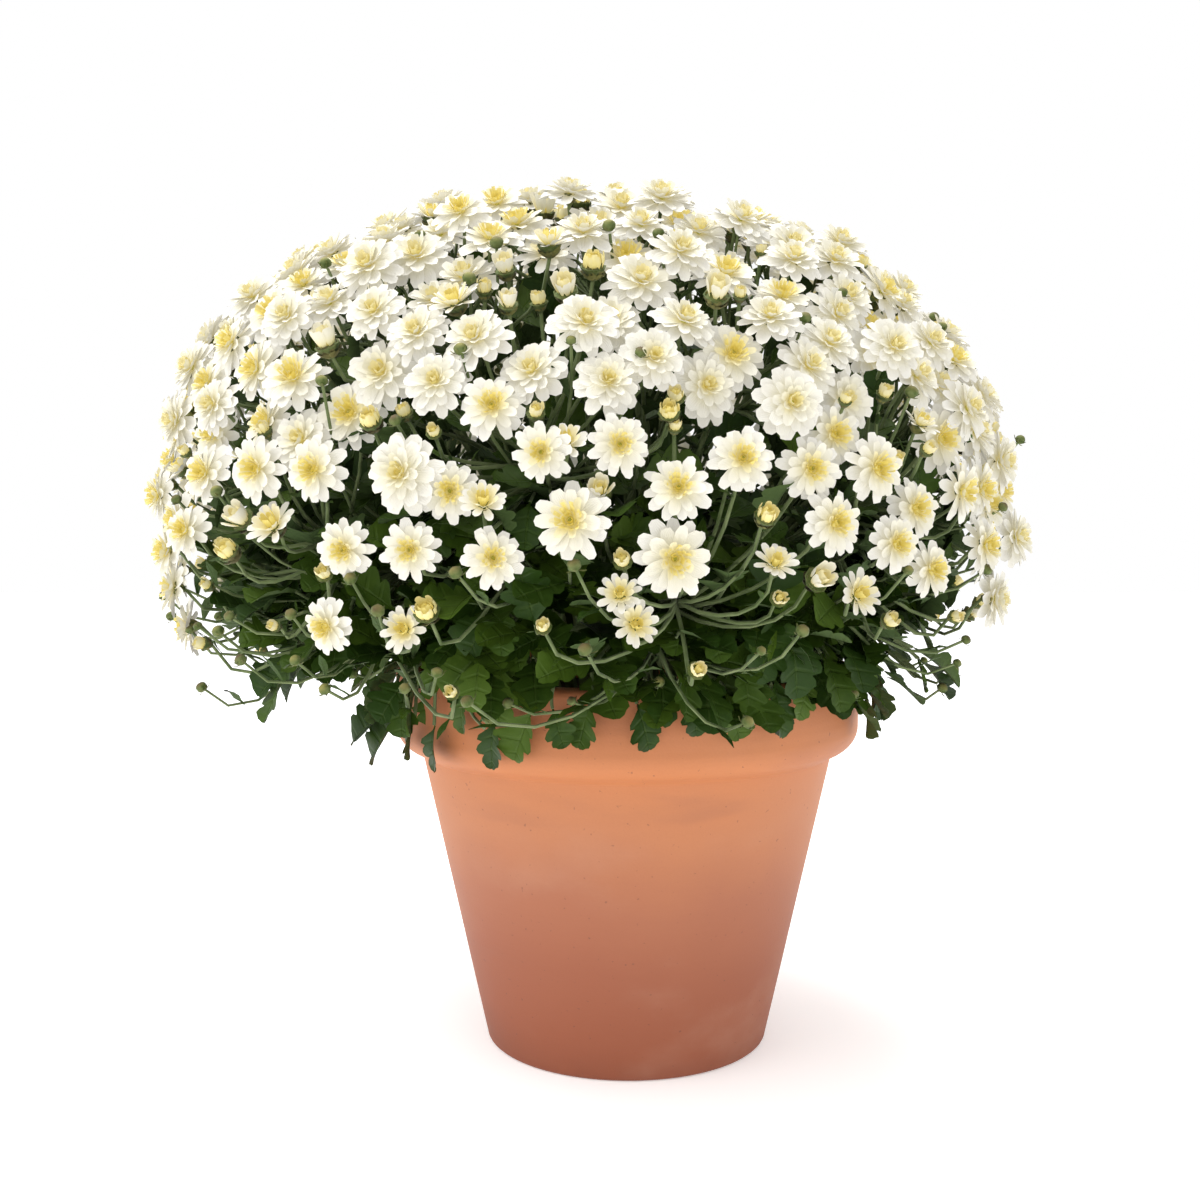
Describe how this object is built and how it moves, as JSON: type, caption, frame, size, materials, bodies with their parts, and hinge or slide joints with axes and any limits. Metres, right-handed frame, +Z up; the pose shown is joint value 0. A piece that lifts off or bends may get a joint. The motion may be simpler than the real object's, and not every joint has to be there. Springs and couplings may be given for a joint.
{
  "type": "pot chrysanthemum",
  "caption": "Mounded pot chrysanthemum in full white bloom, with lobed leaves, half-open cups and round buds, growing in a tapered terracotta pot with a deep rim band.",
  "frame": {"origin": "middle of the pot's flat base, on the surface that it stands on", "axes": "+Z up, the picture's viewer towards -Y"},
  "size_m": [0.4768, 0.4569, 0.4606],
  "materials": {
    "terracotta": "matt fired clay, cloudy, with a few dark specks",
    "potting_soil": "crumbly and dark",
    "leaf_green": "satin, deep green above and greyer beneath, stems sage green",
    "petal_white": "soft white petals, cream to yellow in the middle"
  },
  "bodies": {
    "root": {"pot": "terracotta", "soil": "potting_soil", "leafy_stem_01": "leaf_green", "leafy_stem_02": "leaf_green", "leafy_stem_03": "leaf_green", "leafy_stem_04": "leaf_green", "leafy_stem_05": "leaf_green", "leafy_stem_06": "leaf_green", "leafy_stem_07": "leaf_green", "leafy_stem_08": "leaf_green", "leafy_stem_09": "leaf_green", "leafy_stem_10": "leaf_green", "leafy_stem_11": "leaf_green", "leafy_stem_12": "leaf_green", "leafy_stem_13": "leaf_green", "leafy_stem_14": "leaf_green", "leafy_stem_15": "leaf_green", "leafy_stem_16": "leaf_green", "leafy_stem_17": "leaf_green", "leafy_stem_18": "leaf_green", "leafy_stem_19": "leaf_green", "leafy_stem_20": "leaf_green", "leafy_stem_21": "leaf_green", "leafy_stem_22": "leaf_green", "leafy_stem_23": "leaf_green", "leafy_stem_24": "leaf_green", "flower_spray_01": "petal_white", "flower_spray_02": "petal_white", "flower_spray_03": "petal_white", "flower_spray_04": "petal_white", "flower_spray_05": "petal_white", "flower_spray_06": "petal_white", "flower_spray_07": "petal_white", "flower_spray_08": "petal_white", "flower_spray_09": "petal_white", "flower_spray_10": "petal_white", "flower_spray_11": "petal_white", "flower_spray_12": "petal_white", "flower_spray_13": "petal_white", "flower_spray_14": "petal_white", "flower_spray_15": "petal_white", "flower_spray_16": "petal_white", "flower_spray_17": "petal_white", "flower_spray_18": "petal_white", "flower_spray_19": "petal_white", "flower_spray_20": "petal_white", "flower_spray_21": "petal_white", "flower_spray_22": "petal_white", "flower_spray_23": "petal_white", "flower_spray_24": "petal_white"}
  },
  "joints": []
}
